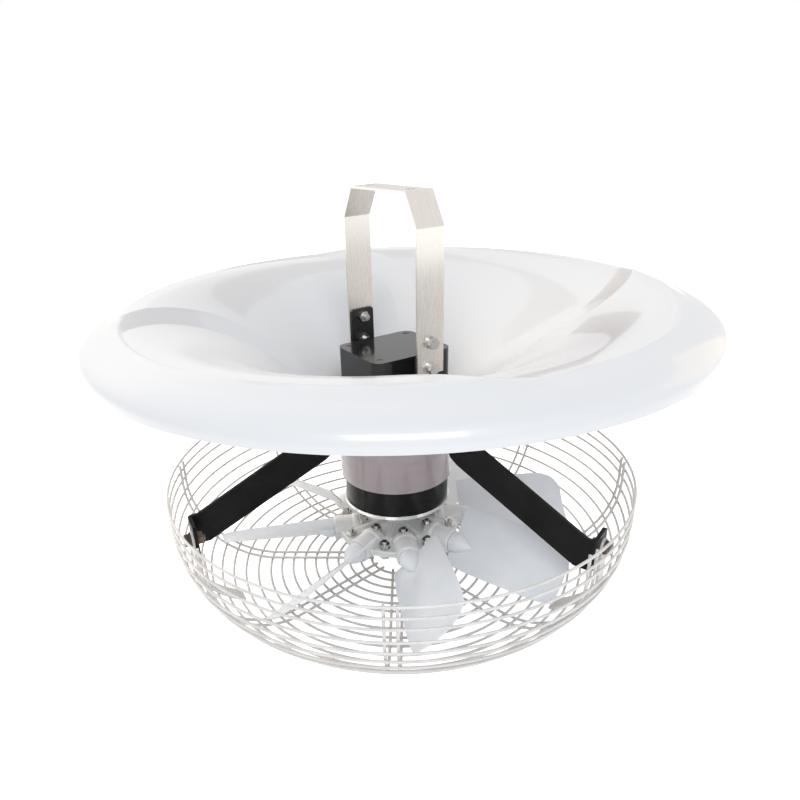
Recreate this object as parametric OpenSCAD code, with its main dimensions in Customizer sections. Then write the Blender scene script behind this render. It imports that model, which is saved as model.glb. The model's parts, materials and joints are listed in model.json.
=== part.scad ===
// Ceiling-hung air circulator: a fan in a wire bowl blows up against a wide spiral dish
// that turns the air outwards. The origin is under the middle of the bowl, with Z up.
// The hanger's two legs stand in the YZ plane.

/* [Dish] */
// Radius of the dish at its thin lower rim
dish_r = 404; // [380:1:420]
// Radius of the crest, the highest line of the dish
crest_r = 346; // [335:1:352]
// Height of the crest above the lower rim
lip_h = 36; // [28:1:42]
// Radius of the neck at its lower edge
neck_r = 81.5; // [81:0.5:84]
// Height of the dish from the neck's lower edge to the crest
dish_h = 259; // [250:1:265]
// Height of the upright neck
neck_h = 87; // [84:1:90]
// Wall of the moulded dish
dish_wall = 3; // [2.5:0.25:3.5]
// Height of the spiral steps, from foot to edge
step_h = 10; // [5:0.5:12]
// Angle through which a step's edge sweeps from neck to lip
step_sweep = 33; // [29:1:36]
// Direction of the first step's edge at the neck
step_start = -46; // [-60:1:30]
// Angle from a step's edge to its foot at the neck
step_band = 9; // [7:0.5:12]

/* [Hanger] */
// Width of the hanger strip
strip_w = 40; // [34:1:44]
// Thickness of the hanger strip
strip_t = 3; // [2.5:0.5:4]
// Distance between the middles of the two legs
leg_span = 170; // [166:1:178]
// Length of the flat top bar
bar_l = 127; // [118:1:140]
// Height of the slanted shoulders
shoulder_h = 40; // [34:1:46]
// Height of the upright legs
leg_h = 180; // [172:1:190]
// Distance between the two holes in the top bar
bar_hole_span = 90; // [70:1:100]
// Diameter of the two holes in the top bar
bar_hole_d = 11; // [9:0.5:13]
// Diameter of the hanger bolts
leg_bolt_d = 8; // [6:1:8]
// Distance between the two bolts of a leg
leg_bolt_pitch = 33; // [28:1:34]
// Height of the yoke
yoke_h = 94; // [90:1:100]

/* [Junction box] */
// Width of the junction box, across the hanger
box_w = 122; // [114:1:126]
// Length of the junction box, between the legs
box_l = 106; // [98:1:112]
// Height of the box below its lid
box_h = 30; // [28:1:34]
// Height of the lid
lid_h = 24; // [20:1:28]
// Radius of the box's upright corners
box_corner = 14; // [12:1:16]
// Wall of the box and of the lid
box_wall = 3; // [2.5:0.5:3.5]

/* [Motor] */
// Height of the motor's lower rim above the floor
motor_z = 121; // [119:1:125]
// Outer radius of the motor's turning can
can_r = 76.5; // [74:0.5:77]
// Height of the can
can_h = 64; // [62:0.5:66]
// Wall of the can
can_wall = 3; // [2.5:0.5:3.5]
// Diameter of the motor shaft
shaft_d = 20; // [18:1:21]
// Outer diameter of the ball bearings
bearing_d = 47; // [46:0.5:48]
// Width of the ball bearings
bearing_w = 14; // [13:0.5:15]
// Thickness of the flange's disc
flange_t = 8; // [6:1:10]

/* [Arms] */
// Thickness of the arms
arm_t = 5; // [4:0.5:6]
// Direction of the first arm
arm_start = -71; // [-80:1:-60]
// Width of the tabs at the outer ends of the arms
tab_w = 40; // [36:1:44]
// Height of the tabs at the outer ends of the arms
tab_h = 46; // [42:1:48]
// Diameter of the bolts at the outer ends of the arms
tab_bolt_d = 10; // [8:1:10]
// Height of those bolts
tab_bolt_z = 135; // [132:1:137]

/* [Guard] */
// Radius of the guard's upright wall
guard_r = 333; // [330:1:340]
// Height of the guard's top ring
guard_h = 174; // [170:1:178]
// Radius of the large round between the guard's wall and floor
corner_r = 139; // [136:1:141]
// Diameter of the guard's ring wire
ring_d = 3.6; // [3.2:0.2:4]
// Diameter of the guard's rib wire
rib_d = 4; // [3.6:0.2:4.2]
// Distance between the two wires of a rib
rib_gap = 15; // [13:1:18]
// Distance between the rings of the wall
wall_pitch = 15.3; // [14:0.1:15.5]
// Distance between the rings of the floor
floor_pitch = 18; // [16:0.5:18.5]
// Width of the lugs that carry the guard
lug_w = 24; // [22:1:26]
// Thickness of the lugs that carry the guard
lug_t = 3; // [2.5:0.5:3.5]

/* [Fan] */
// Radius of the circle swept by the blades
blade_r = 268; // [256:1:276]
// Chord of a blade ahead of its shank
chord_lead = 37; // [32:1:40]
// Chord of a blade behind its shank
chord_trail = 58; // [50:1:60]
// Pitch of a blade at its root
pitch_root = 47; // [42:1:48]
// Pitch of a blade at its tip
pitch_tip = 41; // [36:1:42]
// Thickness of a blade
blade_t = 3; // [2.5:0.25:3.5]
// Radius of the blade shanks
shank_r = 13; // [12:0.5:14]
// Outer radius of the hub's sockets
socket_r = 18; // [17.5:0.5:19]
// Radius of the hub at the mouths of its sockets
hub_r = 99; // [98:1:102]
// Height of the blade axes above the floor
hub_z = 70; // [68:0.5:73]
// Direction of the first blade
blade_start = 21; // [0:1:44]
// Diameter of the hub bolts
hub_bolt_d = 8; // [6:1:8]

/* [Hidden] */
$fn = 48;
cut = 1;
fit = 0.05;
lap = 0.02;
seat = 0.3;
hex_ratio = 1.7;
hex_fn = 6;
bolt_play = 0.5;

// Middle of the guard's rounded corner, and the ring of the corner that touches the lugs
corner_x = guard_r - corner_r;
corner_z = ring_d / 2 + corner_r;
lug_ring_turn = 29.5;

// Heights on the axis, from the motor's lower rim up to the hanger's top bar
rim_ring_h = 5;
can_gap = 2;
neck_drop = 27;
yoke_rise = 44;
leg_rise = 41.6;
leg_margin = 8.4;
can_z = motor_z + rim_ring_h;
flange_z = can_z + can_h + can_gap;
dish_z0 = flange_z - neck_drop;
throat_z = dish_z0 + neck_h;
crest_z = dish_z0 + dish_h;
yoke_z = throat_z + yoke_rise;
box_z = yoke_z + strip_t;
lid_z = box_z + box_h;
leg_z = yoke_z + leg_rise;
leg_bolt_z = leg_z + leg_margin;
bend_z = leg_z + leg_h;
bar_z = bend_z + shoulder_h;

// Hexagonal bolt along Z: its shank starts at zero and its head lies below
module hex_bolt(d, l, head) {
    cylinder(d = d, h = l);
    translate([0, 0, -head])
        cylinder(d = d * hex_ratio / cos(30), h = head, $fn = hex_fn);
}

module hex_nut(d, h) {
    difference() {
        cylinder(d = d * hex_ratio / cos(30), h = h, $fn = hex_fn);
        translate([0, 0, -cut])
            cylinder(d = d + 2 * fit, h = h + 2 * cut);
    }
}

module washer(d, outer, h, play) {
    difference() {
        cylinder(d = outer, h = h);
        translate([0, 0, -cut])
            cylinder(d = d + play, h = h + 2 * cut);
    }
}

// Hanger strip and its fasteners
leg_y = leg_span / 2;
leg_out = leg_y + strip_t / 2;
leg_in = leg_y - strip_t / 2;
shoulder_y = leg_out - bar_l / 2;
shoulder_turn = atan2(shoulder_h, shoulder_y);
top_miter = strip_t * tan(shoulder_turn / 2);
leg_miter = strip_t * tan((90 - shoulder_turn) / 2);
tab_in = leg_in - strip_t;
spring_t = 2.1;
flat_t = 1.6;
leg_head = 5.3;
leg_nut = 6.5;
leg_bolt_l = 24;
yoke_clip = 3;
yoke_narrow = 2;
yoke_hole_d = 16;
yoke_screw_d = 6;
yoke_screw_r = 25;
mirror_sides = [0, 1];

module hanger_bracket() {
    color("silver")
    difference() {
        rotate([90, 0, 90])
            linear_extrude(strip_w, center = true)
                polygon([[-leg_out, leg_z], [-leg_out, bend_z], [-bar_l / 2, bar_z],
                    [bar_l / 2, bar_z], [leg_out, bend_z], [leg_out, leg_z],
                    [leg_in, leg_z], [leg_in, bend_z - leg_miter],
                    [bar_l / 2 - top_miter, bar_z - strip_t],
                    [top_miter - bar_l / 2, bar_z - strip_t],
                    [-leg_in, bend_z - leg_miter], [-leg_in, leg_z]]);
        for (side = [-1, 1])
            translate([0, side * bar_hole_span / 2, bar_z - strip_t - cut])
                cylinder(d = bar_hole_d, h = strip_t + 2 * cut);
        leg_holes();
    }
}

module leg_holes() {
    for (k = [0, 1])
        translate([0, leg_out + cut, leg_bolt_z + k * leg_bolt_pitch])
            rotate([90, 0, 0])
                cylinder(d = leg_bolt_d + bolt_play, h = 2 * (leg_out + cut));
}

module at_leg_bolts(y) {
    for (side = mirror_sides)
        mirror([0, side, 0])
            for (k = [0, 1])
                translate([0, y, leg_bolt_z + k * leg_bolt_pitch])
                    rotate([90, 0, 0])
                        children();
}

module motor_yoke() {
    tab_x = strip_w / 2 - yoke_narrow;
    yoke_top = yoke_z + yoke_h;
    color("dimgray")
    difference() {
        intersection() {
            rotate([90, 0, 90])
                linear_extrude(strip_w, center = true)
                    polygon([[-leg_in, yoke_z], [leg_in, yoke_z], [leg_in, yoke_top],
                        [tab_in, yoke_top], [tab_in, yoke_z + strip_t],
                        [-tab_in, yoke_z + strip_t], [-tab_in, yoke_top],
                        [-leg_in, yoke_top]]);
            rotate([90, 0, 0])
                linear_extrude(2 * leg_span, center = true)
                    polygon([[-tab_x, yoke_z], [tab_x, yoke_z],
                        [tab_x, yoke_top - yoke_clip], [tab_x - yoke_clip, yoke_top],
                        [yoke_clip - tab_x, yoke_top], [-tab_x, yoke_top - yoke_clip]]);
        }
        leg_holes();
        wire_passage(yoke_z);
        at_yoke_screws(yoke_z)
            cylinder(d = yoke_screw_d + bolt_play, h = strip_t + 2 * cut);
    }
}

module wire_passage(z) {
    translate([0, 0, z - cut])
        cylinder(d = yoke_hole_d, h = strip_t + 2 * cut);
}

module at_yoke_screws(z) {
    for (side = [-1, 1])
        translate([0, side * yoke_screw_r, z - cut])
            children();
}

module hanger_bolts() {
    color("gainsboro")
    at_leg_bolts(leg_out + flat_t + spring_t)
        hex_bolt(leg_bolt_d, leg_bolt_l, leg_head);
}

module hanger_spring_washers() {
    color("silver")
    at_leg_bolts(leg_out + flat_t + spring_t)
        washer(leg_bolt_d, leg_bolt_d * 1.75, spring_t, bolt_play);
}

module hanger_washers() {
    color("lightgray")
    at_leg_bolts(leg_out + flat_t)
        washer(leg_bolt_d, leg_bolt_d * 2, flat_t, bolt_play);
}

module hanger_nuts() {
    color("gainsboro")
    at_leg_bolts(tab_in)
        hex_nut(leg_bolt_d, leg_nut);
}

// Junction box, lid and what they hold
post_r = 5;
lid_screw_d = 4;
lid_screw_head = 2.4;
box_foot = 8;
box_foot_w = 12;
box_foot_t = 3;
gland_d = 16;
gland_hex = 20;
gland_flange = 6;
gland_dome = 12;
gland_bore = 8;
gland_lock = 5;
gland_z = box_z + box_h / 2;
post_x = box_w / 2 - box_corner;
post_y = box_l / 2 - box_corner;

module rounded_block(w, l, r, h) {
    union() {
        translate([-w / 2, r - l / 2, 0])
            cube([w, l - 2 * r, h]);
        translate([r - w / 2, -l / 2, 0])
            cube([w - 2 * r, l, h]);
        for (sx = [-1, 1], sy = [-1, 1])
            translate([sx * (w / 2 - r), sy * (l / 2 - r), 0])
                cylinder(r = r, h = h);
    }
}

module at_box_corners(z) {
    for (sx = [-1, 1], sy = [-1, 1])
        translate([sx * post_x, sy * post_y, z])
            children();
}

module junction_box() {
    color("black")
    difference() {
        union() {
            difference() {
                translate([0, 0, box_z])
                    rounded_block(box_w, box_l, box_corner, box_h);
                translate([0, 0, box_z + box_wall])
                    rounded_block(box_w - 2 * box_wall, box_l - 2 * box_wall,
                        box_corner - box_wall, box_h);
            }
            at_box_corners(box_z)
                cylinder(r = post_r, h = box_h);
            for (sx = [-1, 1], sy = [-1, 1])
                translate([sx * box_w / 2 - box_foot, sy * post_y - box_foot_w / 2, box_z])
                    cube([2 * box_foot, box_foot_w, box_foot_t]);
        }
        wire_passage(box_z);
        at_yoke_screws(box_z)
            cylinder(d = yoke_screw_d + bolt_play, h = box_wall + 2 * cut);
        at_box_corners(box_z + box_wall)
            cylinder(d = lid_screw_d + 2 * fit, h = box_h);
        translate([box_w / 2 - 2 * box_wall, 0, gland_z])
            rotate([0, 90, 0])
                cylinder(d = gland_d + 2 * fit, h = 3 * box_wall);
    }
}

module junction_box_lid() {
    color("black")
    difference() {
        translate([0, 0, lid_z])
            rounded_block(box_w, box_l, box_corner, lid_h);
        translate([0, 0, lid_z - cut])
            rounded_block(box_w - 2 * box_wall, box_l - 2 * box_wall,
                box_corner - box_wall, lid_h - box_wall + cut);
        at_box_corners(lid_z)
            cylinder(d = lid_screw_d + bolt_play, h = lid_h + cut);
        at_box_corners(lid_z + lid_h - lid_screw_head)
            cylinder(d = 2 * lid_screw_d + bolt_play, h = lid_h);
    }
}

module box_lid_screws() {
    head_z = lid_z + lid_h - lid_screw_head;
    color("dimgray")
    at_box_corners(head_z)
        union() {
            cylinder(d = 2 * lid_screw_d, h = lid_screw_head - seat);
            translate([0, 0, -lid_h - box_h / 2])
                cylinder(d = lid_screw_d, h = lid_h + box_h / 2);
        }
}

module terminal_block() {
    block = [18, 44, 16];
    ways = 3;
    way_pitch = 13;
    way_d = 5;
    way_z = 6;
    block_gap = 7;
    block_x = box_wall + block_gap - box_w / 2;
    color("ivory")
    difference() {
        translate([block_x, -block[1] / 2, box_z + box_wall])
            cube(block);
        for (k = [0:ways - 1])
            translate([block_x - cut, (k - 1) * way_pitch, box_z + box_wall + way_z])
                rotate([0, 90, 0])
                    cylinder(d = way_d, h = block[0] + 2 * cut);
    }
}

module cable_gland() {
    thread_l = box_wall + gland_lock;
    color("dimgray")
    translate([box_w / 2 - thread_l, 0, gland_z])
        rotate([0, 90, 0])
            difference() {
                union() {
                    cylinder(d = gland_d, h = thread_l + cut);
                    translate([0, 0, thread_l])
                        cylinder(d = gland_hex / cos(30), h = gland_flange, $fn = hex_fn);
                    translate([0, 0, thread_l + gland_flange])
                        cylinder(d1 = gland_hex, d2 = gland_d, h = gland_dome);
                }
                translate([0, 0, -cut])
                    cylinder(d = gland_bore, h = thread_l + gland_flange + gland_dome + 2 * cut);
            }
}

module gland_nut() {
    color("dimgray")
    translate([box_w / 2 - box_wall - gland_lock + cut, 0, gland_z])
        rotate([0, 90, 0])
            difference() {
                cylinder(d = gland_hex / cos(30), h = gland_lock - cut, $fn = hex_fn);
                translate([0, 0, -cut])
                    cylinder(d = gland_d + 2 * fit, h = gland_lock + 2 * cut);
            }
}

module yoke_screws() {
    head_h = 4;
    head_d = 11;
    thread_l = 8;
    color("gainsboro")
    for (side = [-1, 1])
        translate([0, side * yoke_screw_r, box_z + box_wall])
            mirror([0, 0, 1])
                union() {
                    translate([0, 0, -head_h])
                        cylinder(d = head_d, h = head_h);
                    cylinder(d = yoke_screw_d, h = box_wall + strip_t + thread_l);
                }
}

// Fixed motor flange, bearings and stator
flange_r = 77.5;
flange_wall = 3.5;
flange_rim_z = throat_z + 2;
tube_r = 27;
column_r = 22;
head_r = 34;
head_t = 10;
head_hole = 9;
cable_bore = 12;
core_r = 65;
core_z = can_z + 16;
core_h = 38;
tube_z = core_z + 2;
lower_bearing_z = tube_z + 2;
upper_bearing_z = flange_z + 20;
bearing_cap = 6;
bearing_stop = 41;
stop_h = 3;
shaft_r = shaft_d / 2;
bearing_r = bearing_d / 2;
ring_wall = 4.2;
inner_ring_r = shaft_r + ring_wall;
outer_ring_r = bearing_r - ring_wall;
ball_path_r = (inner_ring_r + outer_ring_r) / 2;
ball_r = 3.4;
balls = 8;
slots = 12;
slot_r = 58;
slot_w = 9;
coil_r = 34;
coil_end = 6;
coil_gap = 2;
root_bolt_d = 6;
root_bolt_y = 20;
root_margin = 9;
root_z = flange_z + 25;
root_top = throat_z - 1;
root_x = 85.5;
root_reach = 14;
root_bolt_zs = [root_z + root_margin, root_top - root_margin];

module motor_flange() {
    color("dimgray")
    difference() {
        union() {
            translate([0, 0, flange_z])
                cylinder(r = flange_r, h = flange_t);
            translate([0, 0, tube_z])
                cylinder(r = tube_r, h = flange_z + flange_t - tube_z);
            translate([0, 0, flange_z])
                cylinder(r = tube_r, h = upper_bearing_z + bearing_w + bearing_cap - flange_z);
            translate([0, 0, flange_z])
                cylinder(r = column_r, h = yoke_z - flange_z);
            translate([0, 0, yoke_z - head_t])
                cylinder(r = head_r, h = head_t);
            translate([0, 0, flange_z])
                difference() {
                    cylinder(r = flange_r, h = flange_rim_z - flange_z);
                    translate([0, 0, flange_t])
                        cylinder(r = flange_r - flange_wall, h = flange_rim_z);
                }
        }
        translate([0, 0, tube_z - cut])
            cylinder(d = bearing_stop, h = upper_bearing_z + bearing_w + stop_h - tube_z + cut);
        translate([0, 0, tube_z - cut])
            cylinder(r = bearing_r + fit, h = lower_bearing_z + bearing_w - tube_z + cut);
        translate([0, 0, upper_bearing_z])
            cylinder(r = bearing_r + fit, h = bearing_w);
        translate([0, 0, flange_z])
            cylinder(d = cable_bore, h = yoke_z - flange_z + cut);
        at_yoke_screws(yoke_z - head_hole)
            cylinder(d = yoke_screw_d + 2 * fit, h = head_t + cut);
        for (k = [0:2])
            rotate([0, 0, arm_start + 120 * k])
                root_holes(root_bolt_d + 2 * fit);
    }
}

module root_holes(d) {
    for (z = root_bolt_zs)
        translate([flange_r - root_reach, root_bolt_y, z])
            rotate([0, 90, 0])
                cylinder(d = d, h = 2 * root_reach + root_x - flange_r);
}

module bearing_ring(r1, r2) {
    rotate_extrude($fn = 64)
        difference() {
            translate([r1, 0])
                square([r2 - r1, bearing_w]);
            translate([ball_path_r, bearing_w / 2])
                circle(r = ball_r + seat, $fn = 32);
        }
}

module bearing_outer_rings() {
    color("silver")
    for (z = [lower_bearing_z, upper_bearing_z])
        translate([0, 0, z])
            bearing_ring(outer_ring_r, bearing_r);
}

module bearing_inner_rings() {
    color("silver")
    for (z = [lower_bearing_z, upper_bearing_z])
        translate([0, 0, z])
            bearing_ring(shaft_r + fit, inner_ring_r);
}

module bearing_balls() {
    color("gainsboro")
    for (z = [lower_bearing_z, upper_bearing_z], k = [0:balls - 1])
        rotate([0, 0, k * 360 / balls])
            translate([ball_path_r, 0, z + bearing_w / 2])
                sphere(r = ball_r, $fn = 32);
}

module stator_core() {
    color("slategray")
    translate([0, 0, core_z])
        difference() {
            cylinder(r = core_r, h = core_h);
            translate([0, 0, -cut])
                cylinder(r = tube_r + fit, h = core_h + 2 * cut);
            for (k = [0:slots - 1])
                rotate([0, 0, (k + 0.5) * 360 / slots])
                    translate([coil_r, -slot_w / 2, -cut])
                        cube([slot_r - coil_r, slot_w, core_h + 2 * cut]);
        }
}

module stator_windings() {
    color("peru")
    union() {
        for (z = [core_z - seat - coil_end, core_z + core_h + seat])
            translate([0, 0, z])
                difference() {
                    cylinder(r = slot_r - seat, h = coil_end);
                    translate([0, 0, -cut])
                        cylinder(r = coil_r + seat, h = coil_end + 2 * cut);
                }
        for (k = [0:slots - 1])
            rotate([0, 0, (k + 0.5) * 360 / slots])
                translate([coil_r + coil_gap, seat - slot_w / 2, core_z - cut])
                    cube([slot_r - coil_r - 2 * coil_gap, slot_w - 2 * seat, core_h + 2 * cut]);
    }
}

// Turning part of the motor
can_floor = 5;
can_boss_r = 24;
can_boss_h = 8;
spacer_r = 13.5;
spacer_top = lower_bearing_z - seat;
magnets = 12;
magnet_t = 7;
magnet_r = can_r - can_wall - seat;
magnet_z = core_z - 2;
magnet_h = core_h + 4;
magnet_turn = 26;
rim_ring_r = can_r + 2;
rim_ring_w = 12;
disc_t = 10;
hub_lip = 2;
hub_base_z = hub_z - disc_t - hub_lip;
shaft_washer_t = 3;
shaft_nut_h = 8;
shaft_end = 2;
shaft_z = hub_base_z - shaft_washer_t - shaft_nut_h - shaft_end;
shaft_top = upper_bearing_z + bearing_w + 1;

module rotor_can() {
    color("black")
    difference() {
        union() {
            difference() {
                translate([0, 0, can_z])
                    cylinder(r = can_r, h = can_h);
                translate([0, 0, can_z + can_floor])
                    cylinder(r = can_r - can_wall, h = can_h);
            }
            translate([0, 0, can_z - can_boss_h])
                cylinder(r = can_boss_r, h = can_boss_h + cut);
            translate([0, 0, can_z])
                cylinder(r = spacer_r, h = spacer_top - can_z);
        }
        translate([0, 0, can_z - can_boss_h - cut])
            cylinder(r = shaft_r + fit, h = can_h);
    }
}

module rotor_rim_ring() {
    color("silver")
    translate([0, 0, motor_z])
        difference() {
            cylinder(r = rim_ring_r, h = rim_ring_h);
            translate([0, 0, -cut])
                cylinder(r = rim_ring_r - rim_ring_w, h = rim_ring_h + 2 * cut);
        }
}

module rotor_magnets() {
    edge = 2 * can_r * tan(magnet_turn / 2);
    color("darkslategray")
    translate([0, 0, magnet_z])
        for (k = [0:magnets - 1])
            rotate([0, 0, k * 360 / magnets])
                intersection() {
                    difference() {
                        cylinder(r = magnet_r, h = magnet_h);
                        translate([0, 0, -cut])
                            cylinder(r = magnet_r - magnet_t, h = magnet_h + 2 * cut);
                    }
                    linear_extrude(magnet_h)
                        polygon([[0, 0], [2 * can_r, -edge], [2 * can_r, edge]]);
                }
}

key_w = 6;
key_l = 24;
key_z = hub_z + hub_lip;

module motor_shaft() {
    color("silver")
    difference() {
        translate([0, 0, shaft_z])
            cylinder(r = shaft_r, h = shaft_top - shaft_z);
        translate([shaft_r - key_w / 2, -key_w / 2 - fit, key_z - seat])
            cube([key_w, key_w + 2 * fit, key_l + 2 * seat]);
    }
}

module shaft_key() {
    color("gray")
    translate([shaft_r - key_w / 2 + fit, -key_w / 2, key_z])
        cube([key_w - seat, key_w, key_l]);
}

// Dish: rows run from the neck over the crest to the rim, columns once around. Each petal
// rises slowly to a soft edge, from which a slanted band drops to the foot of the next one.
petals = 4;
petal_turn = 360 / petals;
neck_flare = 2.5;
throat_r = neck_r - dish_wall + neck_flare;
lip_w = dish_r - crest_r;
nose_r = crest_r + 20;
foot_r = crest_r + 5;
foot_lag = 5.5;
edge_roll = 4;
petal_cols = 13;
band_cols = 3;
cols = petals * (band_cols + petal_cols);
funnel_rows = [0, 0.012, 0.04, 0.085, 0.14, 0.2, 0.27, 0.34, 0.42, 0.5, 0.58, 0.66, 0.74, 0.82, 0.9, 0.96];
lip_rows = [0, 0.09, 0.2, 0.34, 0.5, 0.66, 0.8, 0.9, 0.96, 0.99, 1];
edge_share = [[0, 0.1], [0.41, 0.3], [0.65, 0.45], [0.86, 0.65], [0.93, 0.5], [1, 0]];
foot_share = [[0, 0.1], [0.22, 0.3], [0.31, 0.35], [0.98, 0.35], [1, 0]];

function funnel_z(t) = throat_z + (crest_z - throat_z) * pow(1 - pow(1 - t, 1.5), 0.8);
function lip_z(t) = crest_z - lip_h * (1 - pow(1 - pow(t, 1.2), 0.35));
neck_line = [[neck_r - dish_wall, dish_z0], [neck_r - dish_wall + neck_flare / 2, dish_z0 + neck_h / 2]];
funnel_line = [for (t = funnel_rows) [throat_r + t * (crest_r - throat_r), funnel_z(t)]];
lip_line = [for (t = lip_rows) [crest_r + t * lip_w, lip_z(t)]];
dish_line = concat(neck_line, funnel_line, lip_line);
rows = len(dish_line);

function unit(v) = v / norm(v);
function along(j) = unit(dish_line[min(j + 1, rows - 1)] - dish_line[max(j - 1, 0)]);
function across(j) = [-along(j)[1], along(j)[0]];

// Directions and heights of a step's edge and foot at row j, and of the columns between them
function row_share(j, r) = min(1, max(0, (dish_line[j][0] - throat_r) / (r - throat_r)));
function edge_turn(j) = step_start + step_sweep * pow(row_share(j, nose_r), 3.1);
function foot_turn(j) = step_start + step_band + (step_sweep - foot_lag) * pow(row_share(j, foot_r), 2.7);
function step_rows(j) = j < len(neck_line) ? 0 : step_h;
function edge_h(j) = step_rows(j) * lookup(row_share(j, nose_r), edge_share);
function foot_h(j) = -step_rows(j) * lookup(row_share(j, foot_r), foot_share);
function roll_turn(j) = edge_turn(j) - edge_roll / dish_line[j][0] * 180 / PI;
function petal_share(k) = (k - band_cols + 1) / (petal_cols + 1);
function col_turn(j, k) =
    k == 0 ? roll_turn(j)
    : k == 1 ? edge_turn(j)
    : foot_turn(j) + petal_share(k) * (roll_turn(j) + petal_turn - foot_turn(j));
function col_h(j, k) =
    k == 0 ? 0.9 * edge_h(j)
    : k == 1 ? edge_h(j)
    : foot_h(j) + petal_share(k) * (0.9 * edge_h(j) - foot_h(j));

function dish_point(j, i, deep) =
    let (k = i % (band_cols + petal_cols),
         turn = col_turn(j, k) + floor(i / (band_cols + petal_cols)) * petal_turn,
         p = dish_line[j] + across(j) * (col_h(j, k) - deep))
    [p[0] * cos(turn), p[0] * sin(turn), p[1]];
function quad(a, b, c, d) = [[a, b, c], [a, c, d]];

module deflector_dish() {
    upper = [for (j = [0:rows - 1], i = [0:cols - 1]) dish_point(j, i, 0)];
    lower = [for (j = [0:rows - 1], i = [0:cols - 1]) dish_point(j, i, dish_wall)];
    low = rows * cols;
    last = (rows - 1) * cols;
    skin = [for (j = [0:rows - 2], i = [0:cols - 1])
        let (a = j * cols + i, b = j * cols + (i + 1) % cols, c = b + cols, d = a + cols)
        each concat(quad(a, d, c, b), quad(low + a, low + b, low + c, low + d))];
    edges = [for (i = [0:cols - 1])
        let (n = (i + 1) % cols)
        each concat(quad(i, n, low + n, low + i),
            quad(last + i, low + last + i, low + last + n, last + n))];
    color("whitesmoke")
    difference() {
        polyhedron(concat(upper, lower), concat(skin, edges));
        for (k = [0:2])
            rotate([0, 0, arm_start + 120 * k])
                root_holes(root_bolt_d + bolt_play);
    }
}

// Arms: flat bars on edge, bent sideways at both ends
lug_out = corner_x + corner_r * cos(lug_ring_turn) - ring_d / 2 - seat;
lug_in = lug_out - lug_t;
tab_out = lug_in;
tab_inner = tab_out - arm_t;
tab_bolt_y = 26;
lug_turn = asin(tab_bolt_y / tab_out);
bend_r = 3;
arm_upper = [[118, root_top - 4], [150, root_top - 17], [298, tab_bolt_z + tab_h / 2 - 1]];
arm_lower = [[285, tab_bolt_z - tab_h / 2], [108, root_z - 15], [98, root_z - 7]];
root_tab = 28;
root_shoulder = 20;
root_heel = 8;
tab_corner = 8;
bend_x = (tab_inner - bend_r) / cos(lug_turn) - (arm_t / 2 + bend_r) * tan(lug_turn);
root_bend_x = root_x + arm_t + bend_r;

module bend_sector(x, from, to) {
    reach = 4 * (arm_t + bend_r);
    mid = (from + to) / 2;
    translate([x, arm_t / 2 + bend_r])
        intersection() {
            difference() {
                circle(r = arm_t + bend_r);
                circle(r = bend_r);
            }
            polygon([[0, 0], reach * [cos(from), sin(from)], reach * [cos(mid), sin(mid)],
                reach * [cos(to), sin(to)]]);
        }
}

module arm_plan() {
    tab_start = (arm_t / 2 + bend_r) * cos(lug_turn) - bend_x * sin(lug_turn);
    tab_end = tab_w - tab_bolt_y;
    union() {
        translate([root_bend_x, -arm_t / 2])
            square([bend_x - root_bend_x, arm_t]);
        bend_sector(bend_x, -90, lug_turn);
        rotate([0, 0, lug_turn])
            translate([tab_inner, tab_start - lap])
                square([arm_t, tab_end - tab_start + lap]);
        bend_sector(root_bend_x, -180, -90);
        translate([root_x, arm_t / 2 + bend_r])
            square([arm_t, root_tab - arm_t / 2 - bend_r]);
    }
}

module arm_side() {
    far = guard_r;
    polygon(concat([[root_x - cut, root_top], [root_x + root_shoulder, root_top]], arm_upper,
        [[far, tab_bolt_z + tab_h / 2], [far, tab_bolt_z - tab_h / 2]], arm_lower,
        [[root_x + root_heel, root_z], [root_x - cut, root_z]]));
}

module arm() {
    difference() {
        intersection() {
            linear_extrude(root_top + cut)
                arm_plan();
            rotate([90, 0, 0])
                linear_extrude(4 * tab_w, center = true)
                    arm_side();
        }
        root_holes(root_bolt_d + bolt_play);
        rotate([0, 0, lug_turn])
            translate([tab_inner - cut, 0, tab_bolt_z])
                rotate([0, 90, 0])
                    cylinder(d = tab_bolt_d + bolt_play, h = arm_t + 2 * cut);
        for (up = [0, 1])
            translate([0, 0, tab_bolt_z])
                mirror([0, 0, up])
                    tab_corner_cut();
    }
}

module tab_corner_cut() {
    rotate([0, 0, lug_turn])
        translate([tab_inner - cut, tab_w - tab_bolt_y - tab_corner, tab_h / 2 - tab_corner])
            difference() {
                cube([arm_t + 2 * cut, 2 * tab_corner, 2 * tab_corner]);
                translate([-cut, 0, 0])
                    rotate([0, 90, 0])
                        cylinder(r = tab_corner, h = arm_t + 4 * cut);
            }
}

module arm_1() {
    color("black")
    rotate([0, 0, arm_start])
        arm();
}

module arm_2() {
    color("black")
    rotate([0, 0, arm_start + 120])
        arm();
}

module arm_3() {
    color("black")
    rotate([0, 0, arm_start + 240])
        arm();
}

module arm_root_bolts() {
    bolt_end = 6;
    bolt_head = 4;
    bolt_l = root_x + arm_t - flange_r + flange_wall + bolt_end;
    color("dimgray")
    for (k = [0:2])
        rotate([0, 0, arm_start + 120 * k])
            for (z = root_bolt_zs)
                translate([root_x + arm_t, root_bolt_y, z])
                    rotate([0, -90, 0])
                        hex_bolt(root_bolt_d, bolt_l, bolt_head);
}

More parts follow.
